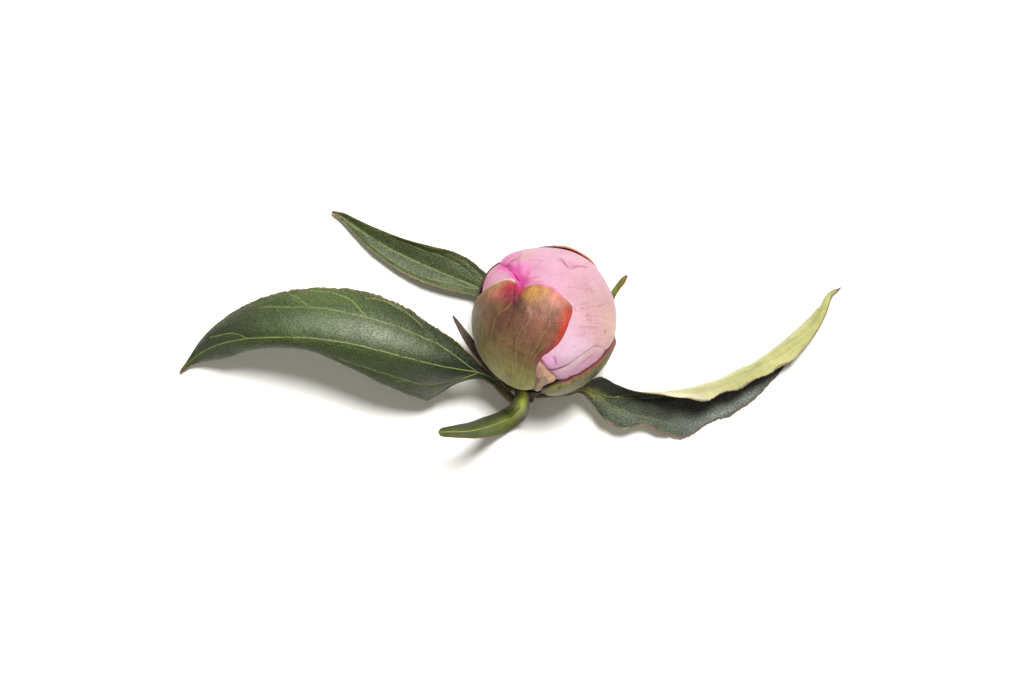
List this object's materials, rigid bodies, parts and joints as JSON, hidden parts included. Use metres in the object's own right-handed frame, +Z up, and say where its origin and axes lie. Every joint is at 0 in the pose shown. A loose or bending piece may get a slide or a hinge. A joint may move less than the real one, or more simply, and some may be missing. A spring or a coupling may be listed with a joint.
{
  "type": "cut peony bud with leaves",
  "caption": "Closed round flower bud with sepals, leaves and narrow bracts on a short cut stem, lying on its side with arched and folded leaves.",
  "frame": {"origin": "middle of the footprint, on the surface that the bud lies on", "axes": "+X along the leaves towards the folded leaf, +Y towards the bud's closed tip, +Z up from the surface"},
  "size_m": [0.1896, 0.065, 0.04],
  "materials": {
    "petal": "soft matt petal with a faint sheen",
    "sepal": "smooth, slightly waxy",
    "leaf": "waxy upper face, pale dull underside",
    "bract": "slightly waxy",
    "stem": "dull, with a fibrous cut end"
  },
  "bodies": {
    "root": {"petal_heart": "petal", "petal_guard": "petal", "petal_left": "petal", "petal_lower": "petal", "petal_under": "petal", "sepal_front": "sepal", "sepal_right": "sepal", "sepal_back": "sepal", "sepal_left": "sepal", "sepal_inner": "sepal", "stem_stub": "stem", "bract_front": "bract", "bract_dark": "bract", "bract_small": "bract", "leaf_left": "leaf", "leaf_upper": "leaf", "leaf_right": "leaf"}
  },
  "joints": []
}
